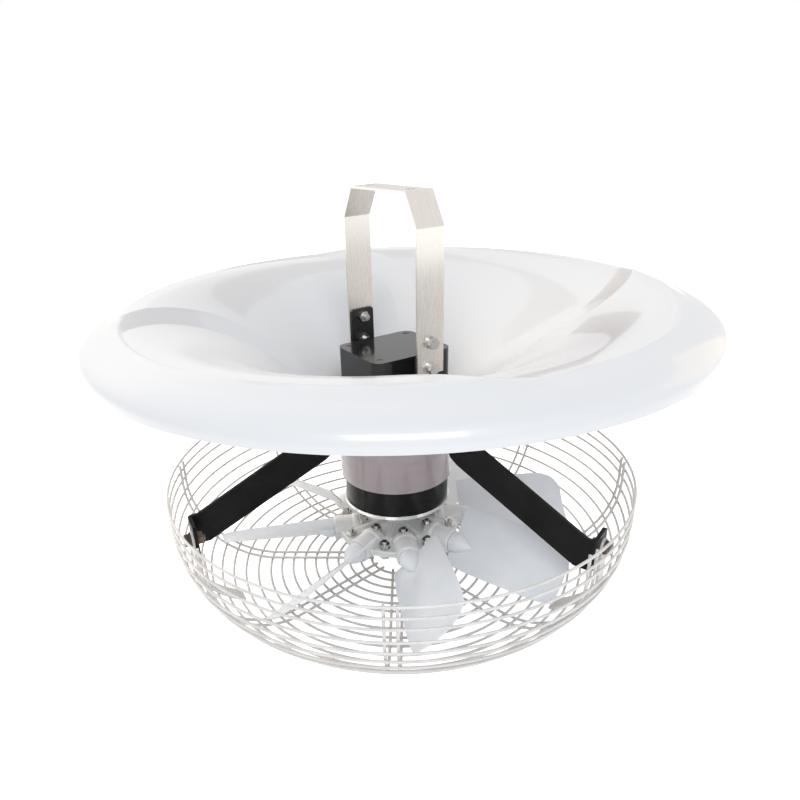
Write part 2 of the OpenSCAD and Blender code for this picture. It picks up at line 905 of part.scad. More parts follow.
// Guard: wire rings, double-wire ribs and flat lugs. The ribs stand at eight even
// directions, and next to the second lug the pair gives way to it.
corner_turns = [6.7, 14.5, 22, lug_ring_turn, 38, 46, 54, 62, 70, 78, 86];
wall_rings = 3;
floor_rings = 9;
floor_start = 7.5;
rib_in = corner_r - ring_d / 2 - rib_d / 2 - seat;
rib_x = corner_x + rib_in;
rib_z = corner_z - rib_in;
rib_start = corner_x - floor_start - (floor_rings - 1) * floor_pitch - rib_d;
ribs = 8;
rib_offset = 1.7;
rib_turn = arm_start + 120 + lug_turn + rib_offset;

module wire_ring(r, z) {
    translate([0, 0, z])
        rotate_extrude($fn = 96)
            translate([r, 0])
                circle(d = ring_d, $fn = 16);
}

module guard_wall_rings() {
    color("white")
    union() {
        for (k = [0:wall_rings - 1])
            wire_ring(guard_r, guard_h - k * wall_pitch);
        for (turn = corner_turns)
            wire_ring(corner_x + corner_r * cos(turn), corner_z - corner_r * sin(turn));
    }
}

module guard_floor_rings() {
    color("white")
    for (k = [0:floor_rings - 1])
        wire_ring(corner_x - floor_start - k * floor_pitch, ring_d / 2);
}

module rib_wire() {
    union() {
        translate([rib_start, 0, rib_z])
            rotate([0, 90, 0])
                cylinder(d = rib_d, h = corner_x - rib_start);
        translate([corner_x, 0, corner_z])
            rotate([90, 0, 0])
                rotate([0, 0, -90])
                    rotate_extrude(angle = 90)
                        translate([rib_in, 0])
                            circle(d = rib_d, $fn = 16);
        translate([rib_x, 0, corner_z])
            cylinder(d = rib_d, h = guard_h - corner_z);
    }
}

module guard_ribs() {
    color("white")
    for (k = [1:ribs - 1])
        rotate([0, 0, rib_turn + k * 360 / ribs])
            for (side = [-1, 1])
                translate([0, side * rib_gap / 2, 0])
                    rib_wire();
}

lug_end_turn = 64;
lug_arc_out = corner_r - ring_d / 2 - seat;
lug_arc_in = lug_arc_out - lug_t;

module lug_side() {
    reach = 2 * corner_r;
    foot_z = corner_z - lug_arc_out * sin(lug_ring_turn);
    union() {
        translate([corner_x, corner_z])
            intersection() {
                difference() {
                    circle(r = lug_arc_out, $fn = 96);
                    circle(r = lug_arc_in, $fn = 96);
                }
                polygon([[0, 0], reach * [cos(lug_ring_turn), -sin(lug_ring_turn)],
                    reach * [cos(lug_end_turn), -sin(lug_end_turn)]]);
            }
        translate([lug_in, foot_z])
            square([lug_t, tab_bolt_z - foot_z]);
    }
}

module at_lugs() {
    for (k = [0:2])
        rotate([0, 0, arm_start + lug_turn + 120 * k])
            children();
}

module guard_lugs() {
    color("white")
    at_lugs()
        difference() {
            union() {
                rotate([90, 0, 0])
                    linear_extrude(lug_w, center = true)
                        lug_side();
                translate([lug_in, 0, tab_bolt_z])
                    rotate([0, 90, 0])
                        cylinder(d = lug_w, h = lug_t);
            }
            translate([lug_in - cut, 0, tab_bolt_z])
                rotate([0, 90, 0])
                    cylinder(d = tab_bolt_d + bolt_play, h = lug_t + 2 * cut);
        }
}

guard_washer_t = 2;
guard_head = 6.4;
guard_nut = 8;
guard_bolt_end = 3;

module at_guard_bolts(x) {
    at_lugs()
        translate([x, 0, tab_bolt_z])
            rotate([0, -90, 0])
                children();
}

module guard_bolts() {
    color("dimgray")
    at_guard_bolts(lug_out + guard_washer_t)
        hex_bolt(tab_bolt_d, guard_washer_t + lug_t + arm_t + guard_nut + guard_bolt_end, guard_head);
}

module guard_washers() {
    color("gray")
    at_guard_bolts(lug_out + guard_washer_t)
        washer(tab_bolt_d, 2 * tab_bolt_d, guard_washer_t, bolt_play);
}

module guard_nuts() {
    color("dimgray")
    at_guard_bolts(tab_inner)
        hex_nut(tab_bolt_d, guard_nut);
}

// Hub in two clamped halves
blades = 8;
blade_turn = 360 / blades;
disc_r = 64;
plate_r = 92;
plate_t = 5;
boss_r = 22;
boss_gap = 12;
boss_h = can_z - can_boss_h - boss_gap - hub_z;
inner_bolt_r = 53.9;
outer_bolt_r = 82.1;
shank_start = inner_bolt_r + hub_bolt_d + 2 * seat;
hub_stud = 12;
hub_flat_t = 1.6;
hub_nut_h = 6.5;
hub_head = 5.3;

module hub_solid() {
    union() {
        cylinder(r = disc_r, h = disc_t);
        cylinder(r = plate_r, h = plate_t);
        for (k = [0:blades - 1])
            rotate([0, 0, blade_start + k * blade_turn])
                intersection() {
                    translate([disc_r - 1, 0, 0])
                        rotate([0, 90, 0])
                            cylinder(r = socket_r, h = hub_r - disc_r + 1);
                    translate([0, -socket_r, 0])
                        cube([2 * hub_r, 2 * socket_r, socket_r]);
                }
    }
}

module hub_bores() {
    for (k = [0:blades - 1])
        rotate([0, 0, blade_start + k * blade_turn])
            translate([shank_start - seat, 0, 0])
                rotate([0, 90, 0])
                    cylinder(r = shank_r + fit, h = hub_r);
    at_hub_bolts()
        translate([0, 0, -2 * disc_t])
            cylinder(d = hub_bolt_d + bolt_play, h = 4 * disc_t);
    translate([0, 0, -2 * boss_h])
        cylinder(r = shaft_r + fit, h = 4 * boss_h);
}

module at_hub_bolts() {
    for (k = [0:blades - 1]) {
        rotate([0, 0, blade_start + k * blade_turn])
            translate([inner_bolt_r, 0, 0])
                children();
        rotate([0, 0, blade_start + (k + 0.5) * blade_turn])
            translate([outer_bolt_r, 0, 0])
                children();
    }
}

module at_hub_faces(gap) {
    for (k = [0:blades - 1]) {
        rotate([0, 0, blade_start + k * blade_turn])
            translate([inner_bolt_r, 0, disc_t + gap])
                children();
        rotate([0, 0, blade_start + (k + 0.5) * blade_turn])
            translate([outer_bolt_r, 0, plate_t + gap])
                children();
    }
}

module hub_upper_half() {
    color("whitesmoke")
    translate([0, 0, hub_z])
        difference() {
            union() {
                hub_solid();
                cylinder(r = boss_r, h = boss_h);
            }
            hub_bores();
            translate([0, -key_w / 2 - fit, -cut])
                cube([shaft_r + key_w / 2, key_w + 2 * fit, 2 * boss_h]);
        }
}

module hub_lower_half() {
    color("whitesmoke")
    translate([0, 0, hub_z])
        difference() {
            mirror([0, 0, 1])
                union() {
                    hub_solid();
                    cylinder(r = boss_r, h = disc_t + hub_lip);
                }
            hub_bores();
        }
}

module hub_bolts() {
    color("silver")
    translate([0, 0, hub_z])
        for (k = [0:blades - 1]) {
            rotate([0, 0, blade_start + k * blade_turn])
                translate([inner_bolt_r, 0, -disc_t])
                    hex_bolt(hub_bolt_d, 2 * disc_t + hub_stud, hub_head);
            rotate([0, 0, blade_start + (k + 0.5) * blade_turn])
                translate([outer_bolt_r, 0, -plate_t])
                    hex_bolt(hub_bolt_d, 2 * plate_t + hub_stud, hub_head);
        }
}

module hub_washers() {
    color("lightgray")
    translate([0, 0, hub_z])
        at_hub_faces(0)
            washer(hub_bolt_d, 2 * hub_bolt_d, hub_flat_t, bolt_play);
}

module hub_nuts() {
    color("silver")
    translate([0, 0, hub_z])
        at_hub_faces(hub_flat_t)
            hex_nut(hub_bolt_d, hub_nut_h);
}

module shaft_washer() {
    color("silver")
    translate([0, 0, hub_base_z - shaft_washer_t])
        washer(shaft_d, 1.7 * shaft_d, shaft_washer_t, bolt_play);
}

module shaft_nut() {
    color("silver")
    translate([0, 0, hub_base_z - shaft_washer_t - shaft_nut_h])
        difference() {
            cylinder(d = 1.5 * shaft_d / cos(30), h = shaft_nut_h, $fn = hex_fn);
            translate([0, 0, -cut])
                cylinder(r = shaft_r + fit, h = shaft_nut_h + 2 * cut);
        }
}

// Blades: rows run outwards, columns from the leading to the trailing edge
blade_root = hub_r + 2;
blade_rows = [[0, 0.85, 0.96], [0.1, 0.94, 0.98], [0.25, 1, 1], [0.45, 1, 1], [0.65, 1, 1],
    [0.8, 1, 1], [0.9, 0.97, 0.92], [0.96, 0.92, 0.77], [1, 0.8, 0.45]];
blade_cols = 6;
camber = -4;
fairing_gap = 1;
fairing_r = 14.5;
fairing_l = 7;
fairing_nose = 24;
fairing_tip = 3;

function blade_edge(j, k) = blade_rows[j][1] * -chord_lead
    + (blade_rows[j][1] * chord_lead + blade_rows[j][2] * chord_trail) * k / blade_cols;
function blade_pitch(j) = pitch_root + (pitch_tip - pitch_root) * blade_rows[j][0];
function blade_point(j, k, side) =
    let (c = blade_edge(j, k), p = blade_pitch(j),
         lift = camber * (1 - pow(2 * k / blade_cols - 1, 2)) + side * blade_t / 2)
    [blade_root + blade_rows[j][0] * (blade_r - blade_root),
     c * cos(p) - lift * sin(p), c * sin(p) + lift * cos(p)];

module blade_skin() {
    n = blade_cols + 1;
    top = len(blade_rows);
    count = top * n;
    above = [for (j = [0:top - 1], k = [0:blade_cols]) blade_point(j, k, 1)];
    below = [for (j = [0:top - 1], k = [0:blade_cols]) blade_point(j, k, -1)];
    skin = [for (j = [0:top - 2], k = [0:blade_cols - 1])
        let (a = j * n + k, b = a + 1, c = b + n, d = a + n)
        each concat(quad(a, b, c, d), quad(count + a, count + d, count + c, count + b))];
    ends = [for (k = [0:blade_cols - 1])
        let (t = (top - 1) * n + k)
        each concat(quad(k, count + k, count + k + 1, k + 1),
            quad(t, t + 1, count + t + 1, count + t))];
    sides = [for (j = [0:top - 2])
        let (a = j * n, t = j * n + blade_cols)
        each concat(quad(a, a + n, count + a + n, count + a),
            quad(t, count + t, count + t + n, t + n))];
    polyhedron(concat(above, below), concat(skin, ends, sides));
}

module blade() {
    union() {
        blade_skin();
        translate([shank_start, 0, 0])
            rotate([0, 90, 0])
                cylinder(r = shank_r, h = blade_root + fairing_l - shank_start);
        translate([hub_r + fairing_gap, 0, 0])
            rotate([0, 90, 0])
                cylinder(r = fairing_r, h = fairing_l);
        translate([hub_r + fairing_gap + fairing_l, 0, 0])
            rotate([0, 90, 0])
                cylinder(r1 = fairing_r, r2 = fairing_tip, h = fairing_nose);
    }
}

module blade_at(k) {
    color("ghostwhite")
    translate([0, 0, hub_z])
        rotate([0, 0, blade_start + k * blade_turn])
            blade();
}

module blade_1() {
    blade_at(0);
}

module blade_2() {
    blade_at(1);
}

module blade_3() {
    blade_at(2);
}

module blade_4() {
    blade_at(3);
}

module blade_5() {
    blade_at(4);
}

module blade_6() {
    blade_at(5);
}

module blade_7() {
    blade_at(6);
}

module blade_8() {
    blade_at(7);
}

hanger_bracket();
motor_yoke();
hanger_bolts();
hanger_spring_washers();
hanger_washers();
hanger_nuts();
junction_box();
junction_box_lid();
box_lid_screws();
terminal_block();
cable_gland();
gland_nut();
yoke_screws();
motor_flange();
bearing_outer_rings();
bearing_balls();
bearing_inner_rings();
stator_core();
stator_windings();
rotor_can();
rotor_rim_ring();
rotor_magnets();
motor_shaft();
deflector_dish();
arm_1();
arm_2();
arm_3();
arm_root_bolts();
guard_wall_rings();
guard_floor_rings();
guard_ribs();
guard_lugs();
guard_bolts();
guard_washers();
guard_nuts();
hub_upper_half();
hub_lower_half();
hub_bolts();
hub_nuts();
hub_washers();
shaft_key();
shaft_washer();
shaft_nut();
blade_1();
blade_2();
blade_3();
blade_4();
blade_5();
blade_6();
blade_7();
blade_8();
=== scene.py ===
import json
import math

import bpy
import numpy as np
from mathutils import Matrix, Vector


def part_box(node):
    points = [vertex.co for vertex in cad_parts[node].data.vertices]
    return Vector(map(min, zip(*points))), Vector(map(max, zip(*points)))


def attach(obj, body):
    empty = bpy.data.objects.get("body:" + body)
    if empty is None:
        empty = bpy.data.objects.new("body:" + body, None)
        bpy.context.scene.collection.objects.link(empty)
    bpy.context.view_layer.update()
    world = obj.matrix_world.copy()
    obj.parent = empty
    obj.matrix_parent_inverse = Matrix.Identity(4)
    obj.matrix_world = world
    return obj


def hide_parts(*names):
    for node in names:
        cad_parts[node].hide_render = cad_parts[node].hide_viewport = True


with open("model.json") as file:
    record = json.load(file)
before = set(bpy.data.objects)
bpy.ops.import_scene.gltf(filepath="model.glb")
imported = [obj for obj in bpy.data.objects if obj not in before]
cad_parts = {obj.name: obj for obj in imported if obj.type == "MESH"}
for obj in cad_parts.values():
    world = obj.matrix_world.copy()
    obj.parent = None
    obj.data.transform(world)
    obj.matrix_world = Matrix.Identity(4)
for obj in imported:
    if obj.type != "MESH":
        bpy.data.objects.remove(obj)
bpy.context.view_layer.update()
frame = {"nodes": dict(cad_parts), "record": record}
nodes = frame["nodes"]
MM = 0.001
WHITE = (1.0, 1.0, 1.0, 1.0)


# Materials: each is built from noise in the part's own metres, and kept under its slot's name.
# A noise mostly stays between the low and the high value here, so ramps run over that span.
NOISE_LOW = 0.35
NOISE_HIGH = 0.65
finishes = {}


class Paint:
    """A material with a principled shader and short helpers to wire it."""

    def __init__(self, name):
        material = bpy.data.materials.new(name)
        material.use_nodes = True
        finishes[name] = material
        self.tree = material.node_tree
        self.shader = self.tree.nodes["Principled BSDF"]
        self.place = self.tree.nodes.new("ShaderNodeTexCoord").outputs["Object"]

    def node(self, kind, **values):
        made = self.tree.nodes.new(kind)
        for key, value in values.items():
            setattr(made, key, value)
        return made

    def link(self, source, target):
        self.tree.links.new(source, target)

    def set(self, **values):
        for key, value in values.items():
            self.shader.inputs[key.replace("_", " ")].default_value = value

    def stretched(self, scale):
        mapping = self.node("ShaderNodeMapping")
        mapping.inputs["Scale"].default_value = scale
        self.link(self.place, mapping.inputs["Vector"])
        return mapping.outputs["Vector"]

    def noise(self, scale, detail=4.0, vector=None):
        made = self.node("ShaderNodeTexNoise")
        made.inputs["Scale"].default_value = scale
        made.inputs["Detail"].default_value = detail
        self.link(vector or self.place, made.inputs["Vector"])
        return made.outputs["Fac"]

    def ramp(self, source, low, high, start=NOISE_LOW, end=NOISE_HIGH):
        made = self.node("ShaderNodeMapRange")
        made.inputs["From Min"].default_value = start
        made.inputs["From Max"].default_value = end
        made.inputs["To Min"].default_value = low
        made.inputs["To Max"].default_value = high
        self.link(source, made.inputs["Value"])
        return made.outputs["Result"]

    def colours(self, source, first, second, start=NOISE_LOW, end=NOISE_HIGH):
        made = self.node("ShaderNodeValToRGB")
        made.color_ramp.elements[0].position = start
        made.color_ramp.elements[0].color = (*first, 1)
        made.color_ramp.elements[1].position = end
        made.color_ramp.elements[1].color = (*second, 1)
        self.link(source, made.inputs["Fac"])
        return made.outputs["Color"]

    def tinted_below(self, colour, tint, full_z, none_z):
        """The colour times a tint up to the height full_z, fading out by none_z, in metres."""
        split = self.node("ShaderNodeSeparateXYZ")
        self.link(self.place, split.inputs["Vector"])
        mix = self.node("ShaderNodeMix", data_type="RGBA", blend_type="MULTIPLY")
        inputs = {socket.identifier: socket for socket in mix.inputs}
        outputs = {socket.identifier: socket for socket in mix.outputs}
        self.link(self.ramp(split.outputs["Z"], 1.0, 0.0, full_z, none_z), inputs["Factor_Float"])
        self.link(colour, inputs["A_Color"])
        inputs["B_Color"].default_value = (*tint, 1)
        return outputs["Result_Color"]

    def bump(self, source, strength, depth_mm):
        made = self.node("ShaderNodeBump")
        made.inputs["Strength"].default_value = strength
        made.inputs["Distance"].default_value = depth_mm * MM
        self.link(source, made.inputs["Height"])
        self.link(made.outputs["Normal"], self.shader.inputs["Normal"])

    def base(self, colour_output):
        self.link(colour_output, self.shader.inputs["Base Color"])

    def rough(self, value_output):
        self.link(value_output, self.shader.inputs["Roughness"])


def white_gloss(name):
    """Coated white for the dish, with painted shade that darkens the neck to a mauve grey under the dish."""
    p = Paint(name)
    p.set(Coat_Weight=0.6, Coat_Roughness=0.07, IOR=1.46)
    white = p.colours(p.noise(3.0, detail=1.0), (0.66, 0.665, 0.675), (0.7, 0.7, 0.7), start=0.0, end=1.0)
    # painted shade: below 0.24 m the neck is multiplied by a mauve grey, fading out by 0.27 m, in place of
    # the shadow under the dish
    p.base(p.tinted_below(white, tint=(0.5, 0.42, 0.43), full_z=0.24, none_z=0.27))
    p.rough(p.ramp(p.noise(7.0, detail=1.0), 0.3, 0.38, start=0.0, end=1.0))


def white_paint(name, first, second, rough, grain, depth_mm):
    """White paint with a faint mottle and a grain of some depth."""
    p = Paint(name)
    p.set(IOR=1.5)
    p.base(p.colours(p.noise(30.0), first, second))
    p.rough(p.ramp(p.noise(90.0), *rough))
    p.bump(p.noise(grain, detail=2.0), strength=0.35, depth_mm=depth_mm)


def black_paint(name, level, rough, grain, shine):
    """Black paint or plastic of a darkness level, with a fine grain."""
    p = Paint(name)
    p.set(IOR=1.5, Specular_IOR_Level=shine)
    dark = (level, level, level * 1.08)
    light = (level * 1.8, level * 1.8, level * 1.9)
    p.base(p.colours(p.noise(26.0), dark, light))
    p.rough(p.ramp(p.noise(60.0), *rough))
    p.bump(p.noise(grain, detail=2.0), strength=0.2, depth_mm=0.15)


def brushed(name, stretch, first, second, rough):
    """Metal with fine marks along one direction, or all over."""
    p = Paint(name)
    p.set(Metallic=1.0)
    streaks = p.noise(1.0, detail=6.0, vector=p.stretched(stretch))
    p.base(p.colours(streaks, first, second))
    p.rough(p.ramp(streaks, *rough))
    p.bump(streaks, strength=0.12, depth_mm=0.04)


def metal(name, first, second, rough):
    """Plain metal with a faint mottle."""
    p = Paint(name)
    p.set(Metallic=1.0)
    p.base(p.colours(p.noise(60.0), first, second))
    p.rough(p.ramp(p.noise(120.0), *rough))
    p.bump(p.noise(300.0, detail=2.0), strength=0.2, depth_mm=0.06)


def plastic(name, first, second, rough):
    """Moulded plastic with a fine grain."""
    p = Paint(name)
    p.base(p.colours(p.noise(70.0), first, second))
    p.rough(p.ramp(p.noise(120.0), *rough))
    p.bump(p.noise(420.0, detail=2.0), strength=0.3, depth_mm=0.08)


def laminated(name, stretch, first, second, rough):
    """Stacked sheet edges."""
    p = Paint(name)
    p.set(Metallic=0.9)
    layers = p.noise(1.0, detail=2.0, vector=p.stretched(stretch))
    p.base(p.colours(layers, first, second))
    p.rough(p.ramp(layers, *rough))
    p.bump(layers, strength=0.4, depth_mm=0.2)


# How far a noise is squeezed along X, Y and Z to make streaks, layers or a fine grain
ALONG_STRIP = (2200.0, 40.0, 40.0)
ROUND_AXIS = (25.0, 25.0, 1500.0)
STACKED = (4.0, 4.0, 900.0)
FINE_GRAIN = (500.0, 500.0, 500.0)

# One material for each slot of the record
white_gloss("white_gloss")
white_paint(
    "white_casting", (0.8, 0.81, 0.8), (0.85, 0.855, 0.85), rough=(0.35, 0.46), grain=160.0, depth_mm=0.4)
white_paint(
    "white_blade", (0.82, 0.845, 0.87), (0.86, 0.88, 0.9), rough=(0.32, 0.42), grain=240.0, depth_mm=0.2)
white_paint(
    "white_coating", (0.64, 0.615, 0.59), (0.72, 0.7, 0.675), rough=(0.25, 0.4), grain=300.0, depth_mm=0.12)
black_paint("black_paint", 0.012, rough=(0.28, 0.36), grain=180.0, shine=0.4)
black_paint("black_satin", 0.005, rough=(0.34, 0.46), grain=260.0, shine=0.1)
black_paint("black_gloss", 0.008, rough=(0.08, 0.14), grain=40.0, shine=0.55)
black_paint("black_gloss_metal", 0.005, rough=(0.14, 0.24), grain=60.0, shine=0.14)
plastic("black_plastic", (0.02, 0.02, 0.021), (0.035, 0.035, 0.036), rough=(0.4, 0.55))
plastic("ivory_plastic", (0.74, 0.71, 0.62), (0.8, 0.77, 0.68), rough=(0.4, 0.55))
brushed("brushed_stainless", ALONG_STRIP, (0.7, 0.67, 0.62), (0.78, 0.75, 0.7), rough=(0.24, 0.32))
brushed("shaft_steel", ROUND_AXIS, (0.5, 0.5, 0.5), (0.66, 0.66, 0.65), rough=(0.2, 0.34))
brushed("turned_aluminium", ROUND_AXIS, (0.72, 0.72, 0.71), (0.86, 0.86, 0.85), rough=(0.16, 0.3))
brushed("copper_wire", FINE_GRAIN, (0.45, 0.2, 0.09), (0.68, 0.34, 0.16), rough=(0.28, 0.42))
metal("bright_bolts", (0.5, 0.49, 0.47), (0.74, 0.73, 0.7), rough=(0.2, 0.38))
metal("dark_bolts", (0.05, 0.042, 0.035), (0.2, 0.16, 0.13), rough=(0.3, 0.5))
metal("bearing_steel", (0.62, 0.62, 0.63), (0.74, 0.74, 0.75), rough=(0.08, 0.18))
metal("magnet", (0.12, 0.12, 0.125), (0.2, 0.2, 0.21), rough=(0.45, 0.6))
laminated("laminated_steel", STACKED, (0.16, 0.16, 0.18), (0.36, 0.37, 0.39), rough=(0.35, 0.6))

for row in frame["record"]["subparts"]:
    materials = nodes[row["node"]].data.materials
    materials.clear()
    materials.append(finishes[row["material_slot"]])


# Softened edges on the metalwork and the box, in millimetres and degrees
SOFT_FROM = 38.0
SOFT_SEGMENTS = 3
edge_widths = {
    "junction_box_lid": 4.5, "junction_box": 0.8, "hanger_bracket": 0.5, "motor_yoke": 0.4,
    "arm_1": 0.6, "arm_2": 0.6, "arm_3": 0.6, "guard_lugs": 0.4,
    "hanger_bolts": 0.5, "hanger_nuts": 0.4, "hub_nuts": 0.4, "guard_bolts": 0.5, "guard_nuts": 0.5,
}
for name, width in edge_widths.items():
    bevel = nodes[name].modifiers.new("soft_edges", "BEVEL")
    bevel.width = width * MM
    bevel.segments = SOFT_SEGMENTS
    bevel.limit_method = "ANGLE"
    bevel.angle_limit = math.radians(SOFT_FROM)
    bevel.harden_normals = False


# Small helpers for meshes made here
def add_mesh(name, points, faces, body, slot, stands_for):
    """A smooth piece that rides on a body and takes the place of a node."""
    mesh = bpy.data.meshes.new(name)
    mesh.from_pydata([tuple(p) for p in points], [], [tuple(f) for f in faces])
    mesh.validate()
    mesh.update()
    made = bpy.data.objects.new(name, mesh)
    bpy.context.scene.collection.objects.link(made)
    mesh.materials.append(finishes[slot])
    mesh.polygons.foreach_set("use_smooth", [True] * len(mesh.polygons))
    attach(made, body)
    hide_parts(stands_for)
    return made


def sharp_edges(made, degrees):
    made.data.set_sharp_from_angle(angle=math.radians(degrees))


def along(share, line):
    """The value at a share of the way along a line of (share, value) points."""
    return np.interp(share, *zip(*line))


def around(turn, x, y):
    """x and y turned about the Z axis by some degrees."""
    a = math.radians(turn)
    return x * math.cos(a) - y * math.sin(a), x * math.sin(a) + y * math.cos(a)


# Dish: the profile of neck, funnel and lip, in millimetres, and the powers that shape its curves
WALL = 3.0
NECK_Z = 165.0
NECK_R = 78.5
NECK_H = 87.0
NECK_FLARE = 2.5
DISH_H = 259.0
DISH_R = 403.5
CREST_R = 346.0
LIP_H = 36.0
THROAT_R = NECK_R + NECK_FLARE
THROAT_Z = NECK_Z + NECK_H
CREST_Z = NECK_Z + DISH_H
FUNNEL_EASE = 1.5
FUNNEL_RISE = 0.8
LIP_EASE = 1.2
LIP_DROP = 0.35

# Steps: four spirals with an edge and a foot each, in millimetres and degrees. At the throat the
# foot stands a band's width after the edge, and by the lip it has turned less far, by its lag.
PETALS = 4
PETAL_TURN = 360.0 / PETALS
STEP = 10.0
START = -46.0
SWEEP = 33.0
BAND = 9.0
FOOT_LAG = 5.5
NOSE_R = CREST_R + 20.0
FOOT_R = CREST_R + 5.0
EDGE_CURL = 3.1
FOOT_CURL = 2.7
EDGE_ROUND = 2.5
EDGE_ROUND_SHARE = 0.4
FOOT_ROUND = 1.5
DISH_CREASE = 50.0

# Shares of the step's height that edge and foot have on their way from throat to lip
edge_heights = [(0.0, 0.1), (0.41, 0.3), (0.65, 0.45), (0.86, 0.65), (0.93, 0.5), (1.0, 0.0)]
foot_depths = [(0.0, 0.1), (0.22, 0.3), (0.31, 0.35), (0.98, 0.35), (1.0, 0.0)]

# Bead between petal and lip: its radius at some degrees behind the step's foot
BEAD_H = 0.6
BEAD_W = 2.0
BEAD_END = 76.0
BEAD_FADE = 8.0
bead_line = [
    (0.0, 351.0), (10.0, 350.0), (28.0, 350.0), (37.0, 345.0),
    (60.0, 345.0), (65.0, 349.0), (74.0, 357.0), (80.0, 362.0),
]

# How finely the dish is meshed: rows from neck to rim, columns around each petal
FINE_R = (CREST_R - 24.0, CREST_R + 28.0)
NECK_ROWS = 12
FUNNEL_ROWS = 60
FINE_ROWS = 36
LIP_ROWS = 24
FUNNEL_BUNCH = 1.35
LIP_BUNCH = 2.5
ROUND_COLS = 8
BAND_COLS = 5
PETAL_COLS = 34


def surface_z(r):
    """Height of the plain dish at radius r, without its steps."""
    if r <= CREST_R:
        t = max(0.0, (r - THROAT_R) / (CREST_R - THROAT_R))
        return THROAT_Z + (CREST_Z - THROAT_Z) * (1 - (1 - t) ** FUNNEL_EASE) ** FUNNEL_RISE
    t = min(1.0, (r - CREST_R) / (DISH_R - CREST_R))
    return CREST_Z - LIP_H * (1 - (1 - t ** LIP_EASE) ** LIP_DROP)


def dish_profile():
    """The plain dish's line of (radius, height) points from the neck's end to the rim."""
    line = []
    for share in np.linspace(0.0, 1.0, NECK_ROWS, endpoint=False):
        line.append((NECK_R + (THROAT_R - NECK_R) * share, NECK_Z + (THROAT_Z - NECK_Z) * share))
    for t in np.linspace(0.0, 1.0, FUNNEL_ROWS, endpoint=False) ** FUNNEL_BUNCH:
        r = THROAT_R + (FINE_R[0] - THROAT_R) * t
        line.append((r, surface_z(r)))
    for r in np.linspace(*FINE_R, FINE_ROWS, endpoint=False):
        line.append((r, surface_z(r)))
    for u in np.linspace(0.0, 1.0, LIP_ROWS + 1):
        r = DISH_R - (DISH_R - FINE_R[1]) * (1 - u) ** LIP_BUNCH
        line.append((r, surface_z(r)))
    return np.array(line)


def rounded(d, left, right, half):
    """Height at distance d from a kink between two slopes, rounded over half on each side."""
    if d <= -half:
        return left * d
    if d >= half:
        return right * d
    return left * d + (right - left) * (d + half) ** 2 / (4 * half)


class Step:
    """Where one row's step edge and foot stand, and how high the row is between them."""

    def __init__(self, r, on_neck):
        share = min(1.0, max(0.0, (r - THROAT_R) / (NOSE_R - THROAT_R)))
        foot_share = min(1.0, max(0.0, (r - THROAT_R) / (FOOT_R - THROAT_R)))
        step = 0.0 if on_neck else STEP
        self.r = r
        self.per_mm = math.degrees(1.0 / r)
        self.edge = START + SWEEP * share ** EDGE_CURL
        self.foot = START + BAND + (SWEEP - FOOT_LAG) * foot_share ** FOOT_CURL
        self.edge_h = step * along(share, edge_heights)
        self.foot_h = -step * along(foot_share, foot_depths)
        self.band = (self.foot - self.edge) / self.per_mm
        self.petal = (PETAL_TURN - self.foot + self.edge) / self.per_mm
        self.rise = (self.edge_h - self.foot_h) / self.petal
        self.fall = (self.foot_h - self.edge_h) / self.band
        self.edge_round = min(EDGE_ROUND, EDGE_ROUND_SHARE * self.band)

    def places(self):
        """Distances in millimetres from the edge, over the band and then over the petal."""
        near = np.linspace(-2 * self.edge_round, self.edge_round, ROUND_COLS)
        band = np.linspace(self.edge_round, self.band - FOOT_ROUND, BAND_COLS + 1)[1:]
        crease = self.band + np.array([0.0, FOOT_ROUND])
        end = self.band + self.petal - 2 * self.edge_round
        petal = np.linspace(crease[-1], end, PETAL_COLS + 1)[1:-1]
        return np.concatenate([near, band, crease, petal])

    def height(self, d):
        """Height over the plain dish at distance d from the edge, with the bead."""
        if d <= self.band / 2:
            plain = self.edge_h + rounded(d, self.rise, self.fall, self.edge_round)
        else:
            plain = self.foot_h + rounded(d - self.band, self.fall, self.rise, FOOT_ROUND)
        after_foot = (d - self.band) * self.per_mm % PETAL_TURN
        off = (self.r - along(after_foot, bead_line)) / BEAD_W
        fade = np.clip((BEAD_END - after_foot) / BEAD_FADE, 0.0, 1.0)
        return plain + BEAD_H * fade * math.exp(-off * off)


def ring_faces(rows, columns):
    """Quads of two skins of rows by columns that close all round, joined at both ends."""
    low = rows * columns
    last = (rows - 1) * columns
    faces = []
    for i in range(columns):
        k = (i + 1) % columns
        for j in range(rows - 1):
            a = j * columns + i
            b = j * columns + k
            faces.append((a, b, b + columns, a + columns))
            faces.append((low + a, low + a + columns, low + b + columns, low + b))
        faces.append((i, low + i, low + k, k))
        faces.append((last + i, last + k, low + last + k, low + last + i))
    return faces


def add_dish():
    """The dish as two skins, a wall's thickness apart along the profile's normals."""
    line = dish_profile()
    tangents = np.gradient(line, axis=0)
    tangents /= np.linalg.norm(tangents, axis=1)[:, None]
    normals = np.stack([-tangents[:, 1], tangents[:, 0]], 1)
    upper, lower = [], []
    for j, ((r, z), (out, up)) in enumerate(zip(line, normals)):
        step = Step(r, j < NECK_ROWS)
        places = step.places()
        for petal in range(PETALS):
            for d in places:
                height = step.height(d)
                turn = math.radians(step.edge + PETAL_TURN * petal + d * step.per_mm)
                for deep, skin in ((0.0, upper), (WALL, lower)):
                    radius = r + out * (height - deep)
                    skin.append((radius * math.cos(turn), radius * math.sin(turn), z + up * (height - deep)))
    points = np.array(upper + lower) * MM
    faces = ring_faces(len(line), PETALS * len(places))
    made = add_mesh("dish_shell", points, faces, "frame", "white_gloss", "deflector_dish")
    sharp_edges(made, DISH_CREASE)


add_dish()


